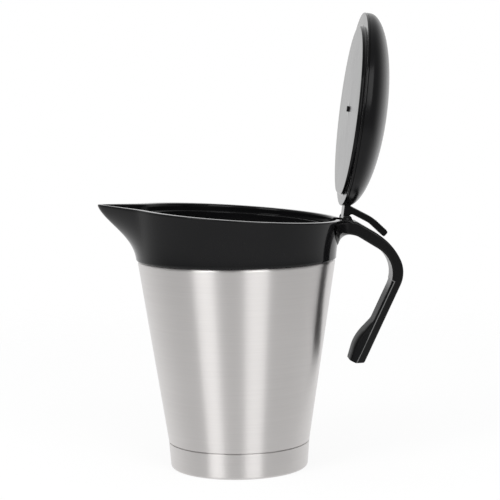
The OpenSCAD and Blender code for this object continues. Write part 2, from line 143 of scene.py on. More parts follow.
def smoothMesh(piece, sharpAngle=38, weighted=True):
    piece.data.shade_smooth()
    piece.data.set_sharp_from_angle(angle=radians(sharpAngle))
    if weighted:
        even = piece.modifiers.new("even_normals", "WEIGHTED_NORMAL")
        even.keep_sharp = True


def skin(name, rings, place=Matrix(), closed=False, capped=False, **shading):
    builder = bmesh.new()  # quads between rings of points, in millimetres
    rows = [[builder.verts.new(place @ (Vector(p) * mm)) for p in ring] for ring in rings]
    count = len(rows[0])
    for k in range(len(rows) if closed else len(rows) - 1):
        one, two = rows[k], rows[(k + 1) % len(rows)]
        for j in range(count):
            after = (j + 1) % count
            builder.faces.new((one[j], one[after], two[after], two[j]))
    if capped:
        builder.faces.new(rows[0])
        builder.faces.new(rows[-1])
    return finishMesh(name, builder, **shading)


def lathe(name, profile, place=Matrix(), **shading):  # turns a closed (radius, height) profile
    rings = []
    for j in range(turns):
        angle = 2 * pi * j / turns
        rings.append([(r * cos(angle), r * sin(angle), z) for r, z in profile])
    return skin(name, rings, place, closed=True, **shading)


def slab(name, outline, width, edges, place=Matrix(), middle=0, steps=5):
    paths = insetPaths(outline)  # a side view given width, with its long edges rounded
    rings = []
    for side in (1, -1):
        for k in range(steps + 1):
            angle = pi / 2 * (k if side == 1 else steps - k) / steps
            ring = []
            for p, path, edge in zip(outline, paths, edges):
                q = p + path * edge * (1 - sin(angle))
                y = middle + side * (width / 2 - edge * (1 - cos(angle)))
                ring.append((q.x, y, q.y))
            rings.append(ring)
    return skin(name, rings, place, capped=True)


def combine(piece, tool, operation):  # joins or cuts with another mesh, which is then deleted
    even = piece.modifiers.get("even_normals")
    if even:
        piece.modifiers.remove(even)
    change = piece.modifiers.new("shape", "BOOLEAN")
    change.object = tool
    change.operation = operation
    change.solver = "EXACT"
    graph = bpy.context.evaluated_depsgraph_get()
    mesh = bpy.data.meshes.new_from_object(piece.evaluated_get(graph))
    piece.modifiers.remove(change)
    piece.data = mesh
    bpy.data.objects.remove(tool)


def dropSplinters(piece):  # removes the faces that cuts leave lying back to back
    builder = bmesh.new()
    builder.from_mesh(piece.data)
    bmesh.ops.triangulate(builder, faces=builder.faces)
    groups = {}
    for face in builder.faces:
        groups.setdefault(frozenset(face.verts), []).append(face)
    doubled = [face for group in groups.values() if len(group) > 1 for face in group]
    bmesh.ops.delete(builder, geom=doubled, context="FACES")
    builder.to_mesh(piece.data)
    builder.free()


def rodAcross(name, x, z, radius, length, edge):  # round bar along Y
    place = Matrix.Translation(Vector((x, 0, z)) * mm) @ Matrix.Rotation(pi / 2, 4, "X")
    profile = roundedOutline([
        ((0, -length / 2), 0),
        ((radius, -length / 2), edge),
        ((radius, length / 2), edge),
        ((0, length / 2), 0),
    ], 4)
    return lathe(name, profile, place)


def block(name, low, high):
    corners = [(low[0], low[1]), (high[0], low[1]), (high[0], high[1]), (low[0], high[1])]
    return skin(name, [[(x, y, z) for x, y in corners] for z in (low[2], high[2])], capped=True)


def fit(piece, body, node, finish):
    piece.data.materials.clear()
    piece.data.materials.append(finish)
    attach(piece, body)
    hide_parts(node)


# Shader tools

class Wire:  # a socket that sums can be written with
    def __init__(self, sheet, socket):
        self.sheet = sheet
        self.socket = socket

    def math(self, operation, left, right=0.0):
        return self.sheet.node("Math", {"operation": operation}, {0: left, 1: right})

    def __add__(self, other):
        return self.math("ADD", self, other)

    def __radd__(self, other):
        return self.math("ADD", other, self)

    def __sub__(self, other):
        return self.math("SUBTRACT", self, other)

    def __rsub__(self, other):
        return self.math("SUBTRACT", other, self)

    def __mul__(self, other):
        return self.math("MULTIPLY", self, other)

    def __rmul__(self, other):
        return self.math("MULTIPLY", other, self)

    def above(self, other):
        return self.math("MAXIMUM", self, other)


class Sheet:  # a node tree that is written node by node
    def __init__(self, owner):
        owner.use_nodes = True
        self.tree = owner.node_tree
        self.tree.nodes.clear()

    def node(self, kind, settings=None, sockets=None, output=0):
        made = self.tree.nodes.new("ShaderNode" + kind)
        for key, value in (settings or {}).items():
            if key == "stops":
                self.setStops(made.color_ramp, value)
            else:
                setattr(made, key, value)
        for key, value in (sockets or {}).items():
            if isinstance(value, Wire):
                self.tree.links.new(value.socket, made.inputs[key])
            else:
                made.inputs[key].default_value = value
        return Wire(self, made.outputs[output]) if made.outputs else None

    def setStops(self, ramp, stops):
        while len(ramp.elements) < len(stops):
            ramp.elements.new(1)
        for element, (place, value) in zip(ramp.elements, stops):
            element.position = place
            element.color = (value, value, value, 1)

    def places(self, scale):  # the piece's own coordinates, stretched
        spot = self.node("TexCoord", output="Object")
        return self.node("VectorMath", {"operation": "MULTIPLY"}, {0: spot, 1: scale})

    def noise(self, scale, detail=2.0, roughness=0.5):
        return self.node("TexNoise", {}, {
            "Vector": self.places(scale), "Scale": 1.0, "Detail": detail, "Roughness": roughness})

    def ramp(self, factor, *stops):
        return self.node("ValToRGB", {"stops": stops}, {"Fac": factor})

    def tint(self, factor, one, two):
        return self.node("Mix", {"data_type": "RGBA"}, {
            "Factor": factor, 6: (*one, 1), 7: (*two, 1)}, output=2)

    def bump(self, height, depth, strength):
        return self.node("Bump", {}, {"Height": height, "Distance": depth, "Strength": strength})

    def shade(self, sockets):
        surface = self.node("BsdfPrincipled", {}, sockets)
        self.node("OutputMaterial", {}, {"Surface": surface})


def brushedSteel(name, look):
    material = bpy.data.materials.new(name)
    sheet = Sheet(material)
    long, fine = look["lineLength"], look["lineWidth"]
    stretch = (1 / (long * mm), 1 / (long * mm), 1 / (fine * mm))
    coarse = (stretch[0] / 3, stretch[1] / 3, stretch[2] / 5)
    lines = sheet.noise(stretch, 3.0, 0.6)
    bands = sheet.noise(coarse, 2.0)
    cloud = sheet.noise(look["cloud"], 2.0)
    mixed = lines * 0.5 + bands * 0.3 + cloud * 0.2
    sheet.shade({
        "Base Color": sheet.tint(mixed, look["dark"], look["light"]),
        "Metallic": 1.0,
        "Roughness": look["roughness"] + (lines - 0.5) * 0.12 + (cloud - 0.5) * 0.08,
        "Anisotropic": look["stretch"],
        "Anisotropic Rotation": 0.25,
        "Normal": sheet.bump(lines * 0.7 + bands * 0.3, look["depth"] * mm, 0.35),
    })
    return material


def mouldedPlastic(name, look):
    material = bpy.data.materials.new(name)
    sheet = Sheet(material)
    grain = sheet.noise(look["grain"], 2.0)
    flow = sheet.noise(look["flow"], 3.0)
    smudge = sheet.ramp(sheet.noise(look["prints"], 4.0, 0.6), (0.45, 0), (0.75, 1))
    rough = look["roughness"] + (grain - 0.5) * 0.05 + smudge * look["smudge"]
    if "sheen" in look:  # heights between which the surface turns smoother, and by how much
        low, high, smoother = look["sheen"]
        height = sheet.node("SeparateXYZ", {}, {0: sheet.places((1, 1, 1))}, output="Z")
        share = sheet.node("MapRange", {"interpolation_type": "SMOOTHSTEP"}, {
            "Value": height, "From Min": low * mm, "From Max": high * mm})
        rough = rough - share * smoother
    sheet.shade({
        "Base Color": sheet.tint(flow * 0.7 + grain * 0.3, look["dark"], look["light"]),
        "Roughness": rough,
        "Specular IOR Level": look["gloss"],
        "Normal": sheet.bump(grain * 0.35 + flow * 0.65, look["depth"] * mm, 0.3),
    })
    return material


def softSilicone(name, look):
    material = bpy.data.materials.new(name)
    sheet = Sheet(material)
    grain = sheet.noise(look["grain"], 2.0)
    dust = sheet.noise(look["dust"], 3.0)
    sheet.shade({
        "Base Color": sheet.tint(dust, look["dark"], look["light"]),
        "Roughness": look["roughness"] + (grain - 0.5) * 0.2,
        "Normal": sheet.bump(grain, look["depth"] * mm, 0.3),
    })
    return material


steelLook = {
    "dark": (0.62, 0.6, 0.59),
    "light": (0.76, 0.74, 0.73),
    "roughness": 0.4,
    "stretch": 1.0,  # anisotropy of the gloss
    "lineLength": 18,
    "lineWidth": 0.28,
    "cloud": (16, 16, 11),  # waves per metre
    "depth": 0.01,
}
plasticLook = {
    "dark": (0.003, 0.003, 0.0033),
    "light": (0.0055, 0.0055, 0.006),
    "roughness": 0.1,
    "gloss": 0.16,
    "smudge": 0.05,  # roughness that finger marks add
    "grain": (1400, 1400, 1400),  # waves per metre, as in the next two
    "flow": (45, 45, 70),
    "prints": (28, 28, 28),
    "depth": 0.02,
}
sealLook = {
    "dark": (0.09, 0.09, 0.09),
    "light": (0.15, 0.15, 0.15),
    "roughness": 0.62,
    "grain": (2600, 2600, 2600),
    "dust": (300, 300, 300),
    "depth": 0.05,
}
deepBlack = {"dark": (0.0015, 0.0015, 0.0017), "light": (0.003, 0.003, 0.0033)}
wallSteel = brushedSteel("steel_wall_brushed", steelLook)
capSteel = brushedSteel("steel_cap_brushed", steelLook | {"lineWidth": 0.24})
innerSteel = brushedSteel("steel_inside_spun", steelLook | {
    "dark": (0.48, 0.46, 0.45), "light": (0.6, 0.58, 0.57), "roughness": 0.46, "lineWidth": 0.5})
pinSteel = brushedSteel("pin_steel_blackened", steelLook | {
    "dark": (0.02, 0.02, 0.021), "light": (0.04, 0.04, 0.042),
    "roughness": 0.35, "stretch": 0.4, "lineLength": 2, "lineWidth": 0.1})
collarBlack = mouldedPlastic("collar_black", plasticLook)
handleBlack = mouldedPlastic("handle_black", plasticLook | deepBlack | {"roughness": 0.24, "gloss": 0.2})
gripBlack = mouldedPlastic("grip_black", plasticLook | {
    "roughness": 0.42, "gloss": 0.1, "sheen": (102, 112, 0.22)})
seamBlack = mouldedPlastic("seam_black", plasticLook | {"roughness": 0.08, "gloss": 0.5})
domeBlack = mouldedPlastic("dome_black", plasticLook | {"roughness": 0.21})
lidBlack = mouldedPlastic("lid_black", plasticLook | deepBlack | {"roughness": 0.12})
sealGrey = softSilicone("seal_grey", sealLook)
print("finishes mixed")


# Steel body: wall, base cap, liner and the disc in the foot
wallSizes = {
    "sheet": 0.8,
    "groove": 15.7,
    "grooveGap": 0.6,
    "grooveRadius": 42.3,
    "capRadius": 41.1,
    "capCorner": 2.0,
    "discHeight": 6.0,
    "press": 0.9,  # how far the foot lies inside the cap's outside
    "shoulder": 125.0,
    "shoulderRadius": 59.0,
    "shoulderRound": 1.6,
    "neckRadius": 57.0,
    "neckTop": 134.0,
    "neckStep": 0.1,  # rise of the shoulder towards the neck
    "footRound": 0.25,
    "lipRound": 0.3,
    "airGap": 5.0,
    "linerFloor": 13.0,
    "linerCorner": 6.0,
    "linerLip": 0.5,
}
taper = (wallSizes["shoulderRadius"] - wallSizes["grooveRadius"]) / (
    wallSizes["shoulder"] - wallSizes["groove"])


def wallRadius(z):
    return wallSizes["grooveRadius"] + taper * (z - wallSizes["groove"])


def capRadius(z):
    s = wallSizes
    return s["capRadius"] + (s["grooveRadius"] - s["capRadius"]) * z / s["groove"]


def makeWall(s):
    t = s["sheet"]
    foot = s["groove"] + s["grooveGap"] / 2
    spigotLow = capRadius(s["discHeight"]) - s["press"]
    spigotTop = capRadius(s["groove"]) - s["press"]
    profile = roundedOutline([
        ((spigotLow, s["discHeight"]), 0),
        ((spigotTop, s["groove"]), 0),
        ((s["grooveRadius"], foot), s["footRound"]),
        ((s["shoulderRadius"], s["shoulder"]), s["shoulderRound"]),
        ((s["neckRadius"], s["shoulder"] + s["neckStep"]), 0),
        ((s["neckRadius"], s["neckTop"]), 0),
        ((s["neckRadius"] - t, s["neckTop"]), 0),
        ((s["neckRadius"] - t, s["shoulder"] - t), 0),
        ((wallRadius(s["shoulder"] - t) - t, s["shoulder"] - 2 * t), 0),
        ((s["grooveRadius"] - t, foot + t), 0),
        ((spigotTop - t, s["groove"]), 0),
        ((spigotLow - t, s["discHeight"]), 0),
    ], 6)
    piece = lathe("outer_wall_brushed", profile)
    fit(piece, "jug", "outer_shell", wallSteel)


def makeCap(s):
    t = s["sheet"]
    top = s["groove"] - s["grooveGap"] / 2
    profile = roundedOutline([
        ((0, 0), 0),
        ((s["capRadius"], 0), s["capCorner"]),
        ((capRadius(top), top), s["lipRound"]),
        ((capRadius(top) - t, top), s["lipRound"]),
        ((s["capRadius"] - t, t), s["capCorner"] - t),
        ((0, t), 0),
    ], 8)
    piece = lathe("base_cap_brushed", profile)
    fit(piece, "jug", "base_cap", capSteel)


def makeLiner(s):
    t = s["sheet"]
    inset = t + s["airGap"]
    floor = wallRadius(s["linerFloor"]) - inset
    top = wallRadius(s["neckTop"]) - inset
    profile = roundedOutline([
        ((0, s["linerFloor"]), 0),
        ((floor, s["linerFloor"]), s["linerCorner"]),
        ((top, s["neckTop"]), 0),
        ((s["neckRadius"], s["neckTop"]), 0),
        ((s["neckRadius"], s["neckTop"] + t), s["lipRound"]),
        ((top - t, s["neckTop"] + t), s["linerLip"]),
        ((floor - t, s["linerFloor"] + t), s["linerCorner"] - t),
        ((0, s["linerFloor"] + t), 0),
    ], 8)
    piece = lathe("liner_spun", profile)
    fit(piece, "jug", "inner_liner", innerSteel)


makeWall(wallSizes)
makeCap(wallSizes)
makeLiner(wallSizes)
frame["nodes"]["bottom_disc"].data.materials.clear()
frame["nodes"]["bottom_disc"].data.materials.append(innerSteel)
print("steel body made")


# Collar: round wall, beak, sloping rim, ledge for the lid and channel to the beak
collarSizes = {
    "footRadius": 59.4,
    "foot": 125.2,
    "rimRadius": 63.4,
    "rim": 152.8,  # at the jug's axis
    "rimSlope": 4.4,
    "flare": 1.45,  # how late the wall flares out, 1 for a straight cone
    "edge": 0.8,
    "rimFace": 4.4,
    "innerEdge": 1.2,
    "wall": 2.4,
    "reach": 18.7,
    "rise": 37.2,
    "tipRound": 2.2,
    "spread": 0.62,
    "spreadEnd": 1.35,  # where the fillet beside the beak runs out, as a share of its width
    "sideFillet": 1.6,
    "tipWall": 3.1,
    "seat": 136.4,
    "channelFloor": 140.0,
    "channelFlat": 0.45,
    "channelLevels": (0.86, 0.55),
    "mouthRadius": 58.2,
    "mouthSteps": 4,
    "ledgeDrop": 4.2,
    "ledgeShare": 0.7,  # of the ledge's width, the rest takes the bore's edge
    "ledgeSteps": 6,
    "boreRadius": 53.77,
    "boreEdge": (  # out, up at the channel, down at the ledge
        (0.35, 0.06, 0.02), (0.1, -0.1, 0.12), (0, -0.35, 0.4), (0, -0.5, 0.55)),
    "roofLevel": 0.6,
    "lidShift": 0.7,
    "notchHalf": 7.7,
    "notchDepth": 2.1,  # below the rim, for the lid's arm
    "notchSlant": 0.002,  # radians taken by each side of the notch
    "notchSteps": 6,
    "neckRoom": 57.2,
    "sideSteps": 22,
    "arcSteps": 84,
    "edgeSteps": 5,
    "levels": 36,
}
rimGrade = tan(radians(collarSizes["rimSlope"]))


def rimAt(x):
    return collarSizes["rim"] - rimGrade * x


def ease(t):
    t = min(1, max(0, t))
    return t * t * (3 - 2 * t)


def collarRadius(v):  # of the round wall at level v, 0 at the foot and 1 at the rim
    s = collarSizes
    return s["footRadius"] + (s["rimRadius"] - s["footRadius"]) * v ** s["flare"]


def makeCollar(s):
    meet = s["spread"] * acos(s["rimRadius"] / (s["rimRadius"] + s["reach"]))
    wide = s["spreadEnd"]
    steps = s["sideSteps"]
    shares = [wide * k / steps for k in range(steps)]
    tipRim = rimAt(-s["rimRadius"] - s["reach"])
    start = 1 - s["rise"] / (tipRim - s["foot"])
    height = s["rim"] - s["foot"]

    def proud(t):  # how far the beak stands out of the round wall at the rim, with a fillet beside it
        yMeet = s["rimRadius"] * sin(meet)
        run = s["rimRadius"] + s["reach"] - s["rimRadius"] * cos(meet)
        lean = run / (hypot(yMeet, s["tipRound"]) - s["tipRound"])
        side = s["rimRadius"] + s["reach"] - lean * (hypot(t * yMeet, s["tipRound"]) - s["tipRound"])
        out = side - sqrt(s["rimRadius"] ** 2 - (t * yMeet) ** 2)
        return (out + hypot(out, s["sideFillet"])) / 2 * (1 - ease((t - 1) / (wide - 1)))

    def standingOut(t):  # 1 at the beak's tip, 0 on the round wall
        return proud(t) / proud(0)

    def tipAt(v):
        return collarRadius(v) + s["reach"] * ease((v ** s["flare"] - start) / (1 - start))

    def levelHeight(v, x):
        return s["foot"] + v * (rimAt(x) - s["foot"])

    def ring(radius, tip, shift, heightAt):
        half = []  # points from the beak's tip to the hinge: x, y, share of the channel, in the notch
        for t in shares:
            y = radius * sin(meet) * t
            x = shift - sqrt(radius * radius - y * y) - (tip - radius) * standingOut(t)
            half.append((x, y, 1 - ease((t - s["channelFlat"]) / (1 - s["channelFlat"])), False))
        back = pi - asin(s["notchHalf"] / radius)
        first = asin(wide * sin(meet))
        for k in range(s["arcSteps"] + 1):
            a = first + (back - first) * k / s["arcSteps"]
            half.append((shift - radius * cos(a), radius * sin(a), 0, False))
        slant = s["notchSlant"]
        for k in range(s["notchSteps"] + 1):
            a = back + slant + (pi - back - slant) * k / s["notchSteps"]
            half.append((shift - radius * cos(a), radius * sin(a), 0, True))
        points = []
        for x, y, share, notch in half:
            z = heightAt(x, share)
            if notch:
                z = min(z, rimAt(x) - s["notchDepth"])
            points.append((x, y, z))
        return points + [(x, -y, z) for x, y, z in points[-2:0:-1]]

    def outer(v, inset):
        def heightAt(x, share):
            return levelHeight(v, x)
        return ring(collarRadius(v) - inset, tipAt(v) - inset, 0, heightAt)

    def inner(radius, tip, shift, v, drop):
        def heightAt(x, share):
            ledge = rimAt(x) - drop
            return ledge + share * (levelHeight(v, x) - ledge)
        return ring(radius, tip, shift, heightAt)

    def plain(radius, low, drop=None):
        def heightAt(x, share):
            return low if drop is None else share * low + (1 - share) * (rimAt(x) - drop)
        return ring(radius, radius, 0, heightAt)

    edge, bend = s["edge"], s["edgeSteps"]
    edgeLevel = edge / height
    quarter = [pi / 2 * k / bend for k in range(bend + 1)]
    rings = [outer(edgeLevel * (1 - cos(a)), edge * (1 - sin(a))) for a in quarter]
    for k in range(1, s["levels"]):
        rings.append(outer(edgeLevel + (1 - 2 * edgeLevel) * k / s["levels"], 0))
    rings += [outer(1 - edgeLevel * (1 - sin(a)), edge * (1 - cos(a))) for a in quarter]
    rimInner = s["rimRadius"] - edge - s["rimFace"]
    small = s["innerEdge"]
    for a in quarter:
        drop = small * (1 - cos(a))
        out = small * (1 - sin(a))
        tip = tipAt(1) - s["tipWall"] + out
        rings.append(inner(rimInner + out, tip, s["lidShift"], 1 - drop / height, drop))
    high, low = s["channelLevels"]
    ledgeWide = s["mouthRadius"] - s["boreRadius"]
    for k in range(1, s["mouthSteps"]):  # the wall of the mouth
        t = k / s["mouthSteps"]
        v = 1 - (1 - high) * t
        v = min(v, 1 - small / height)
        radius = rimInner + (s["mouthRadius"] - rimInner) * t
        drop = small + (s["ledgeDrop"] - small) * t
        rings.append(inner(radius, tipAt(v) - s["tipWall"], s["lidShift"], v, drop))
    for k in range(s["ledgeSteps"] + 1):  # the ledge, and the channel's floor
        t = k / s["ledgeSteps"]
        v = high + (low - high) * t
        radius = s["mouthRadius"] - ledgeWide * s["ledgeShare"] * t
        rings.append(inner(radius, tipAt(v) - s["tipWall"], s["lidShift"] * (1 - t), v, s["ledgeDrop"]))
    for out, up, down in s["boreEdge"]:
        rings.append(plain(s["boreRadius"] + out, s["channelFloor"] + up, s["ledgeDrop"] + down))
    skirt = s["boreRadius"] + s["wall"]
    roof = s["channelFloor"] - s["wall"]
    roofDrop = s["ledgeDrop"] + s["wall"]
    rings.append(plain(s["boreRadius"], s["seat"]))
    rings.append(plain(skirt, s["seat"]))
    rings.append(plain(skirt, roof, roofDrop))
    rings.append(plain(collarRadius(s["roofLevel"]) - s["wall"], roof, roofDrop))
    rings.append(plain(s["neckRoom"], s["foot"]))
    piece = skin("collar_moulded", rings, closed=True, sharpAngle=50, weighted=False)
    fit(piece, "jug", "spout_collar", collarBlack)


makeCollar(collarSizes)


# Seal between the liner and the collar
sealSizes = {"low": 134.8, "high": 136.4, "inner": 53.77, "wide": 2.4, "edge": 0.35}


def makeSeal(s):
    outer = s["inner"] + s["wide"]
    corners = [(s["inner"], s["low"]), (outer, s["low"]), (outer, s["high"]), (s["inner"], s["high"])]
    profile = roundedOutline([(p, s["edge"]) for p in corners], 4)
    piece = lathe("seal_ring", profile)
    fit(piece, "jug", "rim_seal", sealGrey)


makeSeal(sealSizes)
print("collar and seal made")


# Handle: frame with the hinge ears, and the cover with the swollen end
handleSizes = {
    "width": 20.0,
    "rootDrop": 1.3,
    "rootLength": 5.8,
    "kneeRadius": 4.0,
    "archThick": 7.1,
    "gripThick": 5.6,
    "frameThick": 4.5,
    "archSlope": 31.1,
    "underSlope": 32.0,
    "bendSlope": 62.4,
    "gripSlope": 25.4,
    "archLength": 23.8,
    "bendLength": 20.1,
    "upperRadius": 36.0,
    "lowerRadius": 18.2,
    "innerRadius": 17.5,
    "coverTop": 110.5,
    "end": 62.0,
    "frameEnd": 1.5,
    "coverEnd": 1.6,
    "swellThick": 11.0,
    "swellHeight": 14.7,
    "swellSlope": 15.5,
    "leadSlope": 46.4,
    "swellRadius": 24.0,
    "leadRadius": 9.0,
    "crown": 3.8,
    "padHalf": 8.6,  # half the cover's width on the straight grip
    "padBlend": 4.5,  # thickness over which it widens to the handle's width
    "padSquare": 7.0,  # power of the section's curve on the grip, 2 for an ellipse
    "swellSquare": 3.4,  # the same on the swollen end
    "padSteps": 32,
    "padLeast": 0.02,  # thickness of the cover where its ends run out
    "crownShare": 0.85,  # of the cover's thickness that the crown may take
    "arcSteps": 12,
    "rootFillet": 8.2,
    "rootLevels": (1.0, 0.3),  # shares of the collar's height, for the underside's corner and end
    "edge": 1.1,
    "edgeSteps": 5,
    "bendEdge": 1.3,  # rounding inside the bend
    "flareWide": 17.0,  # how far each side of the root widens towards the collar
    "flareDepth": 6.0,  # how far inside the rim's radius it begins, to be cut by the collar's wall
    "flareStart": 1.2,  # before the knee, where the widening sets in
    "flareReach": 4.0,  # how much of the underside past that place is looked at
    "flareInset": 0.03,  # so that no face of the flare lies in a face of the arch
    "flareOverlap": 0.3,
    "flareSteps": 20,
    "bellyHeight": 11.0,  # how far the root's underside rises towards its sides
    "seamEdge": 0.2,  # rounding of the frame along the seam, under the bevel
    "bevel": 0.6,  # width of the frame's bevel along the seam
    "bevelLean": 30.0,  # degrees by which it turns from the side
    "bevelCut": 3.0,  # size of the tool that cuts it
    "bevelLead": 0.5,
    "bevelOver": 5.0,
    "bevelSame": 0.01,  # by how much a normal on it may be off
    "sharp": 25,  # degrees from which an edge is left unsmoothed
    "seamGap": 0.05,
    "earThick": 2.6,
    "earFootIn": 4.2,
    "earFootOut": 4.2,
    "earTopHalf": 2.1,
    "earRadius": 2.2,
    "earRound": 1.8,
    "earSink": 1.0,
    "earEdge": 0.45,
    "armDepth": 2.7,
    "armIn": 8.0,
    "roomRise": 12.0,  # of the cuts that are open at the top
    "rootRoom": (30.0, 300.0),  # half the width and the height of what the flare takes over
    "pinRadius": 1.2,
    "pinInset": 0.3,
    "pinEdge": 0.25,
    "pinOver": 4.0,  # of the pin's bore past the handle's width
    "boreEdge": 0.1,
}


class HandleSide:  # the handle's side view, x and z in millimetres
    def __init__(self, s):
        c = collarSizes
        rootZ = rimAt(c["rimRadius"]) - s["rootDrop"]
        self.rootZ = rootZ
        self.knee = Vector((hinge.x + s["rootLength"], rootZ))
        upper = self.knee + way(s["archSlope"]) * s["archLength"]
        self.bend = upper + way(s["bendSlope"]) * s["bendLength"]
        slope = radians(s["gripSlope"])
        self.along = Vector((-sin(slope), -cos(slope)))
        self.inward = Vector((-cos(slope), sin(slope)))
        under = way(s["underSlope"])
        underStart = self.knee + Vector((under.y, -under.x)) * s["archThick"]
        innerBend = crossing(underStart, under, self.grip(0, s["gripThick"]), self.along)
        swell = self.gripAt(s["end"] + s["swellHeight"], s["swellThick"])
        swellSlope, leadSlope = radians(s["swellSlope"]), radians(s["leadSlope"])
        swellWay = Vector((-sin(swellSlope), -cos(swellSlope)))
        lead = Vector((sin(leadSlope), cos(leadSlope)))
        high, low = s["rootLevels"]
        level, upright = Vector((1, 0)), Vector((0, 1))
        rootCorner = crossing(underStart, under, Vector((collarRadius(high), 0)), upright)
        wallHeight = rimAt(c["rimRadius"]) - c["foot"]
        rootLow = Vector((collarRadius(low), c["foot"] + low * wallHeight))
        self.top = roundedOutline([
            (rootLow - Vector((2 * c["wall"], 0)), 0),
            (Vector((c["rimRadius"] - c["wall"], rootZ)), 0),
            (self.knee, s["kneeRadius"]),
            (upper, s["upperRadius"]),
            (self.bend, s["lowerRadius"]),
            (self.gripAt(s["end"], 0), s["frameEnd"]),
            (self.gripAt(s["end"], s["frameThick"]), 0),
        ], s["arcSteps"])
        end = crossing(swell, swellWay, Vector((0, s["end"])), level)
        inside = roundedOutline([
            (self.gripAt(s["end"], 0), 0),
            (end, s["coverEnd"]),
            (swell, s["swellRadius"]),
            (crossing(swell, lead, self.grip(0, s["gripThick"]), self.along), s["leadRadius"]),
            (innerBend, s["innerRadius"]),
            (rootCorner, s["rootFillet"]),
            (rootLow, 0),
        ], s["arcSteps"])
        self.inside = inside[1:]  # from the lower end up to the root

    def grip(self, run, n):  # run goes down the grip from the bend, n inwards from its back
        return self.bend + self.along * run + self.inward * n

    def gripRun(self, z, n):
        return (self.bend.y + self.inward.y * n - z) / -self.along.y

    def gripAt(self, z, n):
        return self.grip(self.gripRun(z, n), n)

    def split(self, run):  # the inside below and above the cover's upper end
        runs = [(p - self.bend).dot(self.along) - run for p in self.inside]
        cut = next(i for i in range(1, len(runs)) if runs[i] < 0)
        one, two = self.inside[cut - 1], self.inside[cut]
        meet = one.lerp(two, runs[cut - 1] / (runs[cut - 1] - runs[cut]))
        return self.inside[:cut] + [meet], [meet] + self.inside[cut:]


side = HandleSide(handleSizes)


def makeFlare(s, under):  # the root widens into the collar, with a fillet on both sides
    edge = s["edge"]
    first = collarSizes["rimRadius"] - s["flareDepth"]
    last = side.knee.x - s["flareStart"]
    line = sorted((p.x, p.y) for p in under if p.x < last + s["flareReach"])
    quarter = [pi / 2 * k / s["edgeSteps"] for k in range(s["edgeSteps"] + 1)]
    rings = []
    for k in range(s["flareSteps"] + 1):
        x = first + (last - first) * k / s["flareSteps"]
        share = 1 - k / s["flareSteps"]
        wide = s["width"] / 2 + s["flareWide"] * share ** 2 - s["flareInset"]
        i = next((j for j in range(1, len(line)) if line[j][0] >= x), len(line) - 1)
        (x1, z1), (x2, z2) = line[i - 1], line[i]
        along = min(1, max(0, (x - x1) / max(tiny, x2 - x1)))
        low = z1 + (z2 - z1) * along + s["flareInset"]
        high = side.rootZ - s["flareInset"]
        belly = s["bellyHeight"] * share ** 2
        right = [(wide - edge * (1 - sin(a)), high - edge * (1 - cos(a))) for a in quarter]
        right += [(wide - edge * (1 - cos(a)), low + belly + edge * (1 - sin(a))) for a in quarter]
        for j in range(1, s["flareSteps"]):
            y = (wide - edge) * (1 - j / s["flareSteps"])
            right.append((y, low + belly * (y / wide) ** 2))
        ring = [(x, y, z) for y, z in right] + [(x, 0, low)]
        rings.append(ring + [(x, -y, z) for y, z in reversed(right)])
    return skin("root_flare", rings, capped=True), last


def cutRoot(piece, s):  # room for the collar's wall, the lid's arm and the pin
    c = collarSizes
    gap = s["seamGap"]
    top = rimAt(c["rimRadius"])
    levels = [k / s["arcSteps"] for k in range(s["arcSteps"] + 1)]
    wall = [(collarRadius(v) + gap, c["foot"] + v * (top - c["foot"])) for v in levels]
    high = top + s["roomRise"]
    room = lathe("wall_room", [(0, c["foot"])] + wall + [(c["rimRadius"] + gap, high), (0, high)])
    combine(piece, room, "DIFFERENCE")
    half = s["width"] / 2 - s["earThick"]
    low = (c["rimRadius"] - s["armIn"], -half, hinge.z - s["armDepth"])
    high = (hinge.x + 2 * s["earRadius"], half, hinge.z + s["roomRise"])
    combine(piece, block("arm_room", low, high), "DIFFERENCE")
    long = s["width"] + s["pinOver"]
    room = rodAcross("pin_room", hinge.x, hinge.z, s["pinRadius"], long, s["boreEdge"])
    combine(piece, room, "DIFFERENCE")


def cutBevels(piece, s, run):  # along both seams
    lean = radians(s["bevelLean"])
    cut = s["bevelCut"]
    tool = ((0, 0), (-cut * sin(lean), cut * cos(lean)), (cut, cut), (cut, 0))
    low = s["frameThick"] - s["bevel"] * cos(lean)  # where the bevel leaves the side
    last = side.gripRun(s["end"], 0) + s["bevelOver"]
    for hand in (-1, 1):
        rings = []
        for place in (run - s["bevelLead"], last):
            ring = []
            for y, n in tool:
                q = side.grip(place, low + n)
                ring.append((q.x, hand * (s["width"] / 2 + y), q.y))
            rings.append(ring)
        combine(piece, skin("seam_bevel", rings, capped=True), "DIFFERENCE")


def polishBevels(piece, s):
    lean = radians(s["bevelLean"])
    piece.data.materials.append(seamBlack)
    for face in piece.data.polygons:
        tall = face.normal.x * side.inward.x + face.normal.z * side.inward.y
        off = max(abs(tall - sin(lean)), abs(abs(face.normal.y) - cos(lean)))
        if off < s["bevelSame"]:
            face.material_index = 1
            face.use_smooth = False


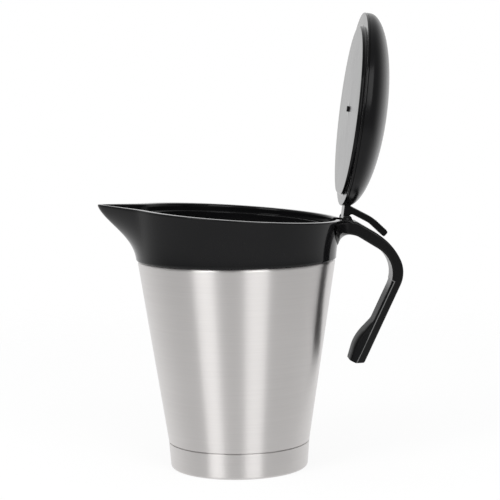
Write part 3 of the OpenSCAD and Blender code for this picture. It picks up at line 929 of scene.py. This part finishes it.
def makeFrame(s):
    run = side.gripRun(s["coverTop"], s["frameThick"])
    upper = side.split(run)[1]
    seam = [side.top[-1], side.grip(run, s["frameThick"])]
    outline = side.top[:-1] + seam + upper
    seamFirst, seamLast = len(side.top) - 1, len(side.top) + 1
    edges = [s["edge"]] * seamFirst
    edges += [s["seamEdge"]] * (seamLast + 1 - seamFirst)
    edges += [s["bendEdge"]] * (len(outline) - len(edges))
    piece = slab("handle_moulded", outline, s["width"], edges)
    flare, flareEnd = makeFlare(s, upper)
    half, tall = s["rootRoom"]
    room = block("root_room", (0, -half, 0), (flareEnd - s["flareOverlap"], half, tall))
    combine(piece, room, "DIFFERENCE")
    combine(piece, flare, "UNION")
    outline = roundedOutline([
        ((hinge.x - s["earFootIn"], side.rootZ - s["earSink"]), 0),
        ((hinge.x + s["earFootOut"], side.rootZ - s["earSink"]), 0),
        ((hinge.x + s["earTopHalf"], hinge.z + s["earRadius"]), s["earRound"]),
        ((hinge.x - s["earTopHalf"], hinge.z + s["earRadius"]), s["earRound"]),
    ])
    for hand in (-1, 1):
        middle = hand * (s["width"] - s["earThick"]) / 2
        ear = slab("ear", outline, s["earThick"], [s["earEdge"]] * len(outline), middle=middle)
        combine(piece, ear, "UNION")
    cutRoot(piece, s)
    cutBevels(piece, s, run)
    dropSplinters(piece)
    smoothMesh(piece, s["sharp"])
    fit(piece, "jug", "handle_frame", handleBlack)
    polishBevels(piece, s)


def makeCover(s):
    gap = s["seamGap"]
    run = side.gripRun(s["coverTop"], s["frameThick"]) + gap
    thick = s["frameThick"] + gap
    last = side.gripRun(s["end"], thick)
    rings = []
    for p in side.split(run)[0]:  # a crowned section across the grip at each point of the inner line
        place = min(last, max(run, (p - side.bend).dot(side.along)))
        tall = max(s["padLeast"], (p - side.bend).dot(side.inward) - thick)
        share = ease((tall + thick - s["gripThick"]) / s["padBlend"])
        half = s["padHalf"] + (s["width"] / 2 - s["padHalf"]) * share
        power = s["padSquare"] + (s["swellSquare"] - s["padSquare"]) * share
        crown = min(s["crown"], s["crownShare"] * tall)
        section = [(-half, 0)]
        for k in range(s["padSteps"] + 1):
            across = -cos(pi * k / s["padSteps"])
            fall = 1 - (1 - abs(across) ** power) ** (1 / power)
            section.append((half * across, tall - crown * fall))
        section.append((half, 0))
        ring = []
        for y, n in section:
            q = side.grip(place, thick + n)
            ring.append((q.x, y, q.y))
        rings.append(ring)
    piece = skin("grip_cover_moulded", rings, capped=True)
    fit(piece, "jug", "handle_cover", gripBlack)


def makePin(s):
    long = s["width"] - 2 * s["pinInset"]
    piece = rodAcross("pin_drawn", hinge.x, hinge.z, s["pinRadius"], long, s["pinEdge"])
    fit(piece, "jug", "hinge_pin", pinSteel)


makeFrame(handleSizes)
makeCover(handleSizes)
makePin(handleSizes)
print("handle and pin made")


# Lid: dome, panel with its plug, and the thumb lever, drawn open
lidSizes = {
    "tilt": 7.6,  # degrees past upright
    "radius": 57.4,
    "shift": 0.7,
    "drop": 3.9,  # of the closed lid's flange below the rim
    "hingeRise": 0.5,
    "side": 3.3,  # height of the dome's upright edge, with the panel
    "domeHeight": 16.3,
    "domeSteps": 36,
    "glueGap": 0.03,
    "lipTurns": (0, 0.4, 0.8, 1.2, pi / 2),
    "domeThick": 1.8,
    "panelThick": 1.3,
    "seamEdge": 0.35,
    "plugRadius": 51.0,
    "plugHeight": 1.95,
    "plugShift": 1.75,  # of the plug's centre towards the hinge
    "plugFlat": 50.5,  # from the lid's centre
    "plugEdge": 0.5,
    "plugFillet": 1.2,
    "plugRim": 2.0,
    "plugPower": 60,  # sharpness of the corner beside the flat
    "faceRings": (42, 30, 16, 6),
    "nubRadius": 1.7,
    "nubHeight": 1.2,
    "nubFillet": 0.3,
    "nubEdge": 0.5,
    "centre": 0.01,
    "edgeSteps": 4,
}
lidSlope = radians(collarSizes["rimSlope"])
lidLift = lidSizes["hingeRise"] + lidSizes["drop"]
lidOut = (hinge.x - lidSizes["shift"]) / cos(lidSlope) - lidLift * sin(lidSlope)
lidBack = -lidLift * cos(lidSlope)
atHinge = Matrix.Translation(hinge * mm) @ Matrix.Rotation(radians(lidSizes["tilt"]), 4, "Y")
atLid = atHinge @ Matrix.Translation(Vector((lidBack, 0, lidOut)) * mm) @ Matrix.Rotation(pi / 2, 4, "Y")


def makeDome(s):
    arc = [pi / 2 * k / s["domeSteps"] for k in range(s["domeSteps"] + 1)]
    r, h, t = s["radius"], s["domeHeight"], s["domeThick"]
    low = s["panelThick"] + s["glueGap"]
    outside = [(r * cos(a), s["side"] + h * sin(a)) for a in arc]
    inside = [((r - t) * cos(a), s["side"] + (h - t) * sin(a)) for a in reversed(arc)]
    edge = s["seamEdge"]
    lip = [(r - edge * (1 - sin(a)), low + edge * (1 - cos(a))) for a in s["lipTurns"]]
    piece = lathe("dome_moulded", [(r - t, low)] + lip + outside + inside, atLid)
    fit(piece, "lid", "lid_dome", domeBlack)


def makePanel(s):
    def circle(radius, z):
        return [(radius * cos(a), radius * sin(a), z) for a in angles]

    def plug(inset, z):
        points = []
        for a in angles:
            radius = s["plugRadius"] - inset
            if cos(a) > 0:
                flat = (s["plugFlat"] - s["plugShift"] - inset) / max(tiny, cos(a))
                power = s["plugPower"]
                radius = 1 / (radius ** -power + flat ** -power) ** (1 / power)
            points.append((s["plugShift"] + radius * cos(a), radius * sin(a), z))
        return points

    angles = [pi * k / turns for k in range(2 * turns)]
    quarter = [pi / 2 * k / s["edgeSteps"] for k in range(s["edgeSteps"] + 1)]
    r, t, edge = s["radius"], s["panelThick"], s["seamEdge"]
    low = -s["plugHeight"]
    e, f = s["plugEdge"], s["plugFillet"]
    rings = [circle(s["centre"], t), circle(r - s["domeThick"], t)]
    rings += [circle(r - edge * (1 - sin(a)), t - edge * (1 - cos(a))) for a in quarter]
    rings += [circle(r - edge * (1 - cos(a)), edge * (1 - sin(a))) for a in quarter]
    rings += [plug(-f * (1 - sin(a)), -f * (1 - cos(a))) for a in quarter]
    rings += [plug(e * (1 - cos(a)), low + e * (1 - sin(a))) for a in quarter]
    rings.append(plug(s["plugRim"], low))
    rings += [circle(x, low) for x in s["faceRings"]]
    n, end = s["nubRadius"], low - s["nubHeight"]
    e, f = s["nubEdge"], s["nubFillet"]
    rings += [circle(n + f * (1 - sin(a)), low - f * (1 - cos(a))) for a in quarter]
    rings += [circle(n - e * (1 - cos(a)), end + e * (1 - sin(a))) for a in quarter]
    rings.append(circle(s["centre"], end))
    piece = skin("panel_moulded", rings, atLid, capped=True)
    fit(piece, "lid", "lid_panel", lidBlack)


leverSizes = {
    "armThick": 3.7,
    "armBelow": 2.3,
    "armReach": 7.0,
    "thick": 3.9,
    "seat": 4.4,
    "root": 14.8,
    "tip": 12.3,
    "lean": 20.7,
    "bend": 15.5,
    "curve": 12.0,
    "tipUnder": 0.9,
    "tipOver": 1.2,
    "knuckle": 2.4,
    "gap": 0.3,  # on each side of the knuckle
    "edge": 0.55,
    "inside": 1.5,  # fillet where the lever leaves the arm
    "outside": 0.3,
    "knuckleSteps": 24,
    "arcSteps": 7,
    "edgeSteps": 4,
    "ribs": 7,
    "ribHeight": 0.28,
    "ribPitch": 1.3,
    "ribStart": 1.6,  # from the tip
    "ribShape": ((0.0, 0), (0.2, 0.8), (0.35, 1), (0.5, 0.8), (0.7, 0)),  # shares of pitch and height
}


def makeLever(s):
    width = handleSizes["width"] - 2 * handleSizes["earThick"] - 2 * s["gap"]
    left, right = -s["armBelow"], s["armThick"] - s["armBelow"]
    end = lidOut - lidSizes["radius"] + s["armReach"]
    way1, way2 = way(s["lean"]), way(s["lean"] + s["bend"])
    up1, up2 = Vector((-way1.y, way1.x)), Vector((-way2.y, way2.x))
    lower = Vector((left + s["armThick"] / 2, s["seat"]))
    turn = lower + way1 * s["root"]
    turnTop = turn + (up1 + way1 * tan(radians(s["bend"] / 2))) * s["thick"]
    tip = turn + way2 * s["tip"]
    tipTop = tip + up2 * s["thick"]
    upright = Vector((0, 1))
    underMeet = crossing(lower, way1, Vector((right, 0)), upright)
    overMeet = crossing(lower + up1 * s["thick"], way1, Vector((right, 0)), upright)
    k = s["knuckle"]
    first = atan2(sqrt(k * k - left * left), left)
    last = 2 * pi + atan2(sqrt(k * k - right * right), right)
    knuckle = []
    for i in range(s["knuckleSteps"] + 1):
        angle = first + (last - first) * i / s["knuckleSteps"]
        knuckle.append((Vector((k * cos(angle), k * sin(angle))), 0))
    ribs = []
    for i in range(s["ribs"]):
        for share, lift in s["ribShape"]:
            back = s["ribStart"] + s["ribPitch"] * (i + share)
            ribs.append((tipTop - way2 * back + up2 * lift * s["ribHeight"], 0))
    corners = [((left, end), 0)] + knuckle + [
        (underMeet, s["inside"]),
        (turn, s["curve"]),
        (tip, s["tipUnder"]),
        (tipTop, s["tipOver"]),
    ] + ribs + [
        (turnTop, s["curve"] + s["thick"]),
        (overMeet, s["outside"]),
        ((right, end), 0),
    ]
    outline = roundedOutline(corners, s["arcSteps"])
    edges = [s["edge"]] * len(outline)
    piece = slab("lever_moulded", outline, width, edges, atHinge, steps=s["edgeSteps"])
    fit(piece, "lid", "thumb_lever", lidBlack)


makeDome(lidSizes)
makePanel(lidSizes)
makeLever(leverSizes)
print("lid and lever made")


# Stage: pale floor, white surroundings and soft lamps
stageLook = {
    "floorHalf": 0.9,  # metres, as in the next two
    "fadeFrom": 0.4,  # the floor fades out all round
    "fadeTo": 0.8,
    "floorDark": (0.89, 0.89, 0.89),
    "floorLight": (0.92, 0.92, 0.92),
    "cloud": (2, 2, 2),  # waves per metre
    "seen": 0.85,  # share of plain white in the floor where it is looked at
    "worldFill": 0.85,
    "frontDim": 0.4,  # the room before the jug, as its gloss shows it
    "dimFrom": -0.2,  # forward part of a ray's direction at which it starts to brighten
    "dimTo": 0.95,
}
lampPlaces = [
    # name, degrees from the camera's side, distance, height, width, tall, watts
    ("lamp_left", -42, 1.25, 0.85, 0.62, 1.1, 7.5),
    ("lamp_right", 22, 1.3, 0.85, 0.7, 1.1, 7.5),
]
lampAim = Vector((0, 0, 0.14))


def makeFloor(s):
    builder = bmesh.new()
    h = s["floorHalf"]
    builder.faces.new([builder.verts.new((x, y, 0)) for x, y in ((-h, -h), (h, -h), (h, h), (-h, h))])
    floor = finishMesh("floor", builder, weighted=False)
    material = bpy.data.materials.new("floor_white")
    sheet = Sheet(material)
    white = sheet.tint(sheet.noise(s["cloud"], 2.0), s["floorDark"], s["floorLight"])
    matt = sheet.node("BsdfDiffuse", {}, {"Color": white})
    glow = sheet.node("Emission", {}, {"Color": (1, 1, 1, 1), "Strength": 1.0})
    seen = sheet.node("LightPath", output="Is Camera Ray")
    seen = seen.above(sheet.node("LightPath", output="Is Glossy Ray"))
    seen = seen.above(sheet.node("LightPath", output="Is Transmission Ray"))
    mixed = sheet.node("MixShader", {}, {0: seen * s["seen"], 1: matt, 2: glow})
    spot = sheet.node("TexCoord", output="Object")
    fade = sheet.node("MapRange", {"interpolation_type": "SMOOTHSTEP"}, {
        "Value": sheet.node("VectorMath", {"operation": "LENGTH"}, {0: spot}, output="Value"),
        "From Min": s["fadeFrom"], "From Max": s["fadeTo"], "To Min": 1.0, "To Max": 0.0})
    faded = sheet.node("MixShader", {}, {0: fade, 1: sheet.node("BsdfTransparent"), 2: mixed})
    sheet.node("OutputMaterial", {}, {"Surface": faded})
    floor.data.materials.append(material)


def makeWorld(s):
    world = bpy.data.worlds.new("studio")
    scene.world = world
    sheet = Sheet(world)
    spot = sheet.node("TexCoord", output="Generated")
    forward = sheet.node("SeparateXYZ", {}, {0: spot}, output="Y")
    room = sheet.node("MapRange", {"interpolation_type": "SMOOTHSTEP"}, {
        "Value": forward, "From Min": s["dimFrom"], "From Max": s["dimTo"],
        "To Min": s["frontDim"], "To Max": 1.0})
    camera = sheet.node("LightPath", output="Is Camera Ray")
    glossy = sheet.node("LightPath", output="Is Glossy Ray")
    clear = sheet.node("LightPath", output="Is Transmission Ray")
    shiny = glossy.above(clear)
    strength = camera + (1 - camera) * (shiny * room + (1 - shiny) * s["worldFill"])
    light = sheet.node("Background", {}, {"Color": (1, 1, 1, 1), "Strength": strength})
    sheet.node("OutputWorld", {}, {"Surface": light})


def makeLamps(places):
    for name, angle, distance, height, width, tall, watts in places:
        data = bpy.data.lights.new(name, "AREA")
        data.shape = "RECTANGLE"
        data.size = width
        data.size_y = tall
        data.energy = watts
        lamp = bpy.data.objects.new(name, data)
        scene.collection.objects.link(lamp)
        lamp.location = (distance * sin(radians(angle)), -distance * cos(radians(angle)), height)
        aim = lampAim - lamp.location
        lamp.rotation_euler = aim.to_track_quat("-Z", "Y").to_euler()
        lamp.visible_camera = False


makeFloor(stageLook)
makeWorld(stageLook)
makeLamps(lampPlaces)
scene.view_settings.view_transform = "Standard"
print("stage lit")
